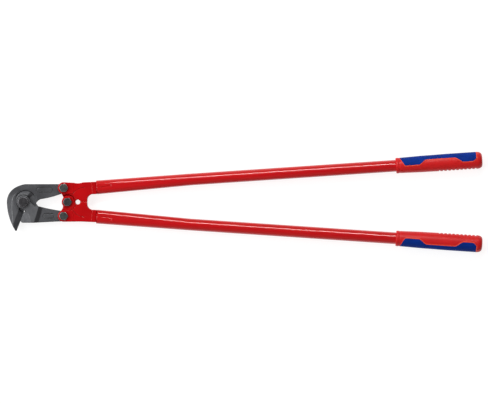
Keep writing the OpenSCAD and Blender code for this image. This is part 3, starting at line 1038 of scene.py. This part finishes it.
def warped_angle(index, columns, grip, distance):
    """The angle of a grip's column, so that a column runs along the inlay's outline on each side."""
    border = columns // 4
    front, rear = inlay_ends(grip)
    half = inlay_half_angle(grip, min(max(distance, front + 2 * MM), rear - 0.5 * MM))
    step, close = 0.3 * MM / grip_radius(grip, distance), 5
    side = 1 if index <= columns // 2 else -1
    count = index if side == 1 else columns - index
    if abs(count - border) <= close:
        return side * (half + (count - border) * step)
    if count < border:
        return side * (half - close * step) * count / (border - close)
    rest = (count - border - close) / (columns // 2 - border - close)
    start = half + close * step
    return side * (start + (math.pi - start) * rest)


class CUTTER_OT_grips(bpy.types.Operator):
    """Moulds the two red grips around their inlays"""
    bl_idname = "cutter.grips"
    bl_label = "Grips"

    def execute(self, context):
        tube, grip = context.scene.cutter.tube, context.scene.cutter.grip
        finish_pair(lambda: self.grip_mesh(tube, grip), "grip", "moulding", grip_plastic(grip))
        return {"FINISHED"}

    def grip_mesh(self, tube, grip):
        """A profile spun round the axis, then bent to the outline, the bead and the ribs."""
        columns = 120
        placer = GripPlacer(tube, grip)
        stations = grip_stations(grip)
        bm = bmesh.new()
        chain = [bm.verts.new((distance, 1, 0)) for distance in stations]
        edges = [bm.edges.new(pair) for pair in zip(chain, chain[1:])]
        bmesh.ops.spin(
            bm, geom=chain + edges, cent=(0, 0, 0), axis=(1, 0, 0), angle=2 * math.pi, steps=columns,
            use_merge=True)
        wear = bm.verts.layers.float.new("wear_and_highlight")
        for vert in bm.verts:
            distance = vert.co.x
            index = round(math.atan2(vert.co.z, vert.co.y) / (2 * math.pi) * columns) % columns
            angle = warped_angle(index, columns, grip, distance)
            border = border_distance(grip, distance, angle)
            bead = hump(border - 0.9 * MM, 0.9 * MM) if border > 0 else 0.0
            sunk = 1.3 * MM * smooth_step(0.1 * MM, -0.25 * MM, border)
            radius = grip_radius(grip, distance) + grip.bead_height * bead - sunk
            radius -= rib_drop(grip, distance, math.pi - abs(angle))
            # The painted highlight along the bead is stored with the edge wear.
            vert[wear] = min(1.0, 1.6 * bead)
            vert.co = placer.at(distance, angle, radius)
        loops = [edge for edge in bm.edges if edge.is_boundary]
        bmesh.ops.holes_fill(bm, edges=loops, sides=0)
        caps = [face for face in bm.faces if len(face.verts) > 4]
        bmesh.ops.inset_region(bm, faces=caps, thickness=1.5 * MM, depth=0)
        bmesh.ops.recalc_face_normals(bm, faces=bm.faces)
        return bm


class CUTTER_OT_inlays(bpy.types.Operator):
    """Moulds the two soft blue inlays"""
    bl_idname = "cutter.inlays"
    bl_label = "Grip Inlays"

    def execute(self, context):
        tube, grip = context.scene.cutter.tube, context.scene.cutter.grip
        finish_pair(lambda: self.inlay_mesh(tube, grip), "grip_inlay", "moulding", inlay_rubber(grip))
        return {"FINISHED"}

    def inlay_mesh(self, tube, grip):
        """A grid wrapped over the outer side of the grip, with rounded borders, made solid."""
        placer = GripPlacer(tube, grip)
        front, rear = inlay_ends(grip)
        gap, thickness = 0.12 * MM, 1.1 * MM
        rows, columns = 150, 56
        bm = bmesh.new()
        bmesh.ops.create_grid(bm, x_segments=rows, y_segments=columns, size=1)
        wear = bm.verts.layers.float.new("wear_and_highlight")
        for vert in bm.verts:
            distance = front + gap + (rear - front - 2 * gap) * (ease(vert.co.x) + 1) / 2
            half = inlay_half_angle(grip, distance) - gap / grip_radius(grip, distance)
            angle = half * ease(vert.co.y)
            inside = -border_distance(grip, distance, angle)
            rounding = 0.6 * MM
            short = max(0.0, rounding - inside + gap)
            drop = rounding - math.sqrt(max(0.0, rounding ** 2 - min(short, rounding) ** 2))
            vert[wear] = smooth_step(0, rounding, drop * 2)
            vert.co = placer.at(distance, angle, grip_radius(grip, distance) + 0.05 * MM - drop)
        bmesh.ops.recalc_face_normals(bm, faces=bm.faces)
        core = placer.at((front + rear) / 2, 0, 0)
        outside = placer.at((front + rear) / 2, 0, grip.diameter / 2)
        middle = min(bm.faces, key=lambda face: (face.calc_center_median() - outside).length)
        if middle.normal.dot(outside - core) < 0:
            bmesh.ops.reverse_faces(bm, faces=bm.faces)
        bmesh.ops.solidify(bm, geom=bm.faces[:], thickness=thickness)
        return bm


def ease(value):
    """Crowds evenly spaced values from -1 to 1 towards both ends."""
    return math.copysign(1 - (1 - abs(value)) ** 1.6, value)


# ---------- fasteners ----------

class CUTTER_OT_fasteners(bpy.types.Operator):
    """Finishes the bolts, nuts and washers with rounded corners"""
    bl_idname = "cutter.fasteners"
    bl_label = "Bolts, Nuts and Washers"

    def execute(self, context):
        settings = context.scene.cutter.bolt
        oxide = bolt_oxide("bolt_oxide", settings.colour)
        dark = bolt_oxide("dark_oxide", settings.dark_colour)
        zinc = washer_zinc(settings.zinc_colour)
        for place in ("centre", "lower_jaw", "upper_jaw", "pivot"):
            for kind in ("bolt", "nut", "washer"):
                node = f"{place}_{kind}"
                black = dark if place in ("centre", "pivot") else oxide
                bm = merged_copy(node)
                sharp = corner_edges(bm, math.radians(14))
                mark_corners(bm, round_edges(bm, sharp, settings.edge_radius, segments=2))
                finish_piece(bm, f"{node}_finished", zinc if kind == "washer" else black, node, even=False)
        return {"FINISHED"}


# ---------- stage ----------

class CUTTER_OT_stage(bpy.types.Operator):
    """Sets up the floor, the soft lights and the camera above the tool"""
    bl_idname = "cutter.stage"
    bl_label = "Stage"

    def execute(self, context):
        settings = context.scene.cutter.stage
        self.add_floor()
        middle = (CAD_BOX[0] + CAD_BOX[1]) / 2 - Vector((1 * MM, 0, 0))
        over_tubes = middle + Vector((27 * MM, 0, 0))
        lights = (
            ("key", middle, (-4.0, 0.7, 4.0), (4.5, 4.5), settings.key_power),
            ("wall", middle, (0, 1.7, 0.75), (3.4, 1.2), settings.wall_power),
            ("strip", over_tubes, (0, 1.30, 1.55), (0.97, 0.28), settings.strip_power),
            ("fill", middle, (0, -1.9, 1.1), (3.4, 1.6), settings.fill_power),
        )
        for name, target, offset, size, power in lights:
            self.add_light(context, name, target, Vector(offset), size, power)
        bpy.data.lights["wall"].color = (1.0, 0.85, 0.64)
        bpy.data.lights["fill"].color = (1.0, 0.72, 0.62)
        world = bpy.data.worlds.new("studio")
        world.use_nodes = True
        background = world.node_tree.nodes["Background"]
        background.inputs["Color"].default_value = (1, 1, 1, 1)
        background.inputs["Strength"].default_value = settings.sky
        context.scene.world = world
        context.scene.view_settings.view_transform = "Standard"
        self.add_camera(context, middle, settings)
        return {"FINISHED"}

    def add_floor(self):
        """A wide board just under the tool."""
        bm = bmesh.new()
        half_width, gap = 6, 0.3 * MM
        bmesh.ops.create_grid(bm, x_segments=2, y_segments=2, size=half_width)
        bmesh.ops.translate(bm, vec=(0, 0, CAD_BOX[0].z - gap), verts=bm.verts)
        place_mesh(bm, "floor", floor_white())

    def add_light(self, context, name, target, offset, size, power):
        """A soft rectangular light that faces the tool, with its long side along it."""
        data = bpy.data.lights.new(name, "AREA")
        data.shape = "RECTANGLE"
        data.size, data.size_y = size
        data.energy = power
        light = bpy.data.objects.new(name, data)
        light.location = target + offset
        light.rotation_euler = (-offset).to_track_quat("-Z", "Y").to_euler()
        light.visible_camera = False
        context.scene.collection.objects.link(light)

    def add_camera(self, context, middle, settings):
        """A long lens that looks straight down."""
        data = bpy.data.cameras.new("camera")
        data.lens = settings.lens
        camera = bpy.data.objects.new("camera", data)
        distance = settings.view_width * settings.lens / data.sensor_width
        camera.location = middle + Vector((0, 0, distance))
        context.scene.collection.objects.link(camera)
        context.scene.camera = camera


# ---------- panel and registration ----------

OPERATORS = (
    CUTTER_OT_upper_jaw, CUTTER_OT_lower_jaw, CUTTER_OT_yokes, CUTTER_OT_tubes,
    CUTTER_OT_grips, CUTTER_OT_inlays, CUTTER_OT_fasteners, CUTTER_OT_stage,
)


class CUTTER_PT_panel(bpy.types.Panel):
    """Lists the steps that build the cutter"""
    bl_idname = "CUTTER_PT_panel"
    bl_label = "Rebar Cutter"
    bl_space_type = "VIEW_3D"
    bl_region_type = "UI"
    bl_category = "Rebar Cutter"

    def draw(self, context):
        for operator in OPERATORS:
            self.layout.operator(operator.bl_idname)


CLASSES = (
    JawSettings, YokeSettings, TubeSettings, GripSettings, BoltSettings, StageSettings, CutterSettings,
    *OPERATORS, CUTTER_PT_panel,
)


def register():
    for cls in CLASSES:
        bpy.utils.register_class(cls)
    bpy.types.Scene.cutter = PointerProperty(type=CutterSettings)


def unregister():
    del bpy.types.Scene.cutter
    for cls in reversed(CLASSES):
        bpy.utils.unregister_class(cls)


def main():
    register()
    bpy.ops.cutter.upper_jaw()
    bpy.ops.cutter.lower_jaw()
    bpy.ops.cutter.yokes()
    bpy.ops.cutter.tubes()
    bpy.ops.cutter.grips()
    bpy.ops.cutter.inlays()
    bpy.ops.cutter.fasteners()
    bpy.ops.cutter.stage()


if __name__ == "__main__":
    main()
